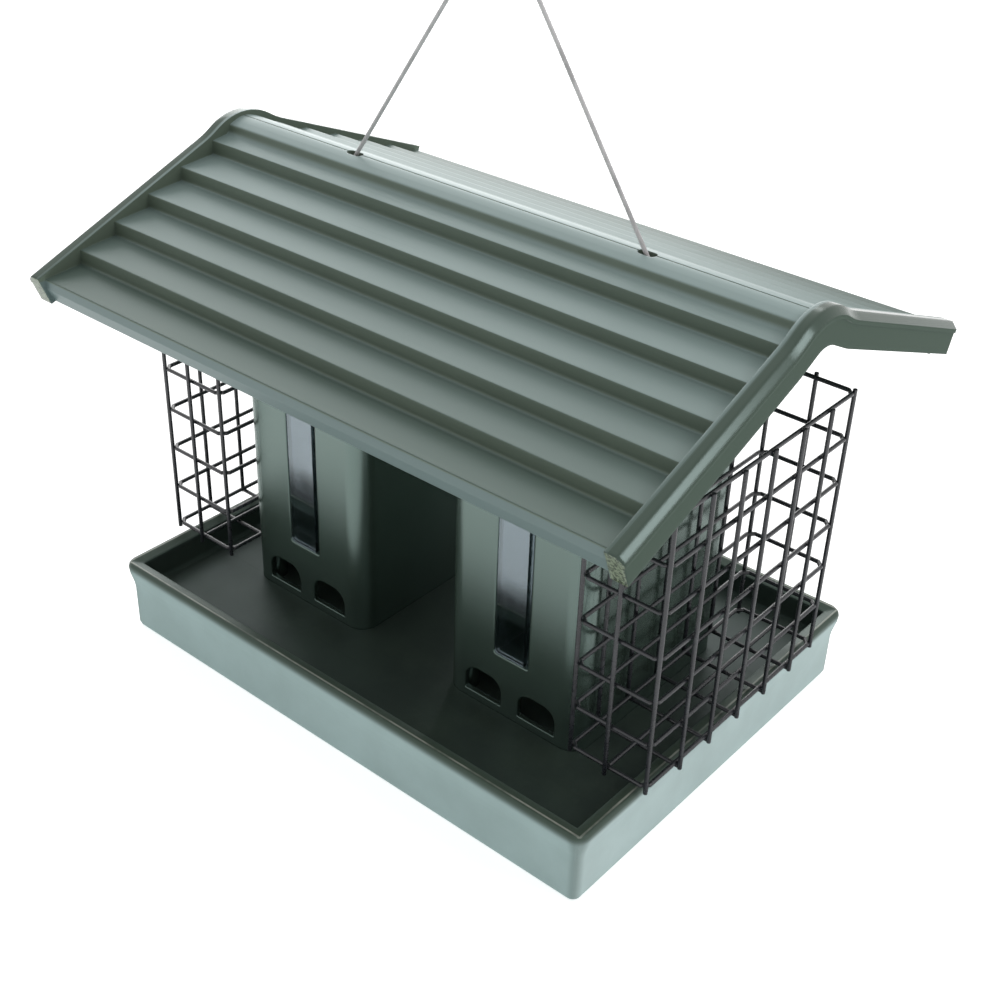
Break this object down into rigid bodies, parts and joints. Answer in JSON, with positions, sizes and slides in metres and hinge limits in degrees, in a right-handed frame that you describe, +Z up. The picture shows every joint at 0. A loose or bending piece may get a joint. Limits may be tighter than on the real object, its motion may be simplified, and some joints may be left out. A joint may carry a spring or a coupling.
{
  "type": "silo bird feeder",
  "caption": "Hanging bird feeder: rimmed seed tray carrying a pair of windowed seed silos with arched ports, lift-off wire suet cages and a stepped gable roof threaded on a cord.",
  "frame": {"origin": "middle of the tray's foot, on the surface it stands on", "axes": "+X along the ridge, +Y from the front slope to the back slope, +Z up"},
  "size_m": [0.34, 0.2566, 0.365],
  "materials": {
    "roof_plastic": "satin grey-green moulding",
    "silo_plastic": "satin grey-green moulding",
    "tray_plastic": "satin grey-green moulding",
    "clear_plastic": "clear sheet",
    "coated_wire": "dark coated wire",
    "zinc_steel": "zinc plated",
    "cord": "off-white braided cord"
  },
  "bodies": {
    "base": {"tray": "tray_plastic", "silo_left": "silo_plastic", "window_left_front": "clear_plastic", "window_left_back": "clear_plastic", "silo_screws_left": "zinc_steel", "cage_hooks_left": "zinc_steel", "hook_nuts_left": "zinc_steel", "cord_end_left": "cord", "cord_knot_left": "cord", "silo_right": "silo_plastic", "window_right_front": "clear_plastic", "window_right_back": "clear_plastic", "silo_screws_right": "zinc_steel", "cage_hooks_right": "zinc_steel", "hook_nuts_right": "zinc_steel", "cord_end_right": "cord", "cord_knot_right": "cord"},
    "roof": {"roof": "roof_plastic", "cord_loop": "cord"},
    "cage_left": {"cage_left_outer": "coated_wire", "cage_left_inner": "coated_wire", "cage_left_front": "coated_wire", "cage_left_back": "coated_wire", "cage_left_bottom": "coated_wire"},
    "cage_right": {"cage_right_outer": "coated_wire", "cage_right_inner": "coated_wire", "cage_right_front": "coated_wire", "cage_right_back": "coated_wire", "cage_right_bottom": "coated_wire"}
  },
  "joints": [
    {"name": "roof_lift", "type": "slide", "parent": "base", "child": "roof", "axis": [0, 0, 1], "range_m": [0, 0.08]},
    {"name": "cage_left_lift", "type": "slide", "parent": "base", "child": "cage_left", "axis": [0, 0, 1], "range_m": [0, 0.015]},
    {"name": "cage_right_lift", "type": "slide", "parent": "base", "child": "cage_right", "axis": [0, 0, 1], "range_m": [0, 0.015]}
  ]
}
